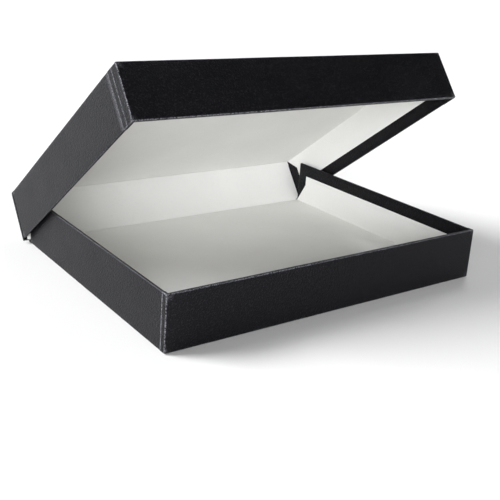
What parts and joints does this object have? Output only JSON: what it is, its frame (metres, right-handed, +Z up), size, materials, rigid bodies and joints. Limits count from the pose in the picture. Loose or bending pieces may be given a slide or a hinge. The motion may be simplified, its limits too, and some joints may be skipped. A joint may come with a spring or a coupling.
{
  "type": "archival box",
  "caption": "Drop-spine print box: shallow tray, hinged spine and slightly larger hinged lid, covered with black bookcloth and lined with white paper.",
  "frame": {"origin": "centre of the tray's flat underside, on the surface it stands on", "axes": "+X to the right seen from the front, along both hinges; +Y from the tray's front wall to the spine; +Z up"},
  "size_m": [0.3872, 0.3284, 0.2286],
  "materials": {
    "cover_cloth": "satin",
    "lining_paper": "matte",
    "board": "matte"
  },
  "bodies": {
    "tray": {"tray_base_board": "board", "tray_front_wall_board": "board", "tray_left_wall_board": "board", "tray_right_wall_board": "board", "tray_underside_cloth": "cover_cloth", "tray_front_cloth": "cover_cloth", "tray_left_cloth": "cover_cloth", "tray_right_cloth": "cover_cloth", "tray_floor_liner": "lining_paper", "tray_front_liner": "lining_paper", "tray_left_liner": "lining_paper", "tray_right_liner": "lining_paper", "lower_hinge_cloth": "cover_cloth", "lower_hinge_liner": "lining_paper"},
    "spine": {"spine_board": "board", "spine_cloth": "cover_cloth", "spine_liner": "lining_paper", "upper_hinge_cloth": "cover_cloth", "upper_hinge_liner": "lining_paper"},
    "lid": {"lid_panel_board": "board", "lid_front_wall_board": "board", "lid_left_wall_board": "board", "lid_right_wall_board": "board", "lid_panel_cloth": "cover_cloth", "lid_front_cloth": "cover_cloth", "lid_left_cloth": "cover_cloth", "lid_right_cloth": "cover_cloth", "lid_panel_liner": "lining_paper", "lid_front_liner": "lining_paper", "lid_left_liner": "lining_paper", "lid_right_liner": "lining_paper"}
  },
  "joints": [
    {"name": "spine_hinge", "type": "hinge", "parent": "tray", "child": "spine", "pos_m": [0, 0.1489, 0], "axis": [-1, 0, 0], "range_deg": [-37, 53], "deforming": ["lower_hinge_cloth", "lower_hinge_liner"]},
    {"name": "lid_hinge", "type": "hinge", "parent": "spine", "child": "lid", "pos_m": [0, 0.18383, 0.04636], "axis": [-1, 0, 0], "range_deg": [0, 90], "deforming": ["upper_hinge_cloth", "upper_hinge_liner"]}
  ]
}
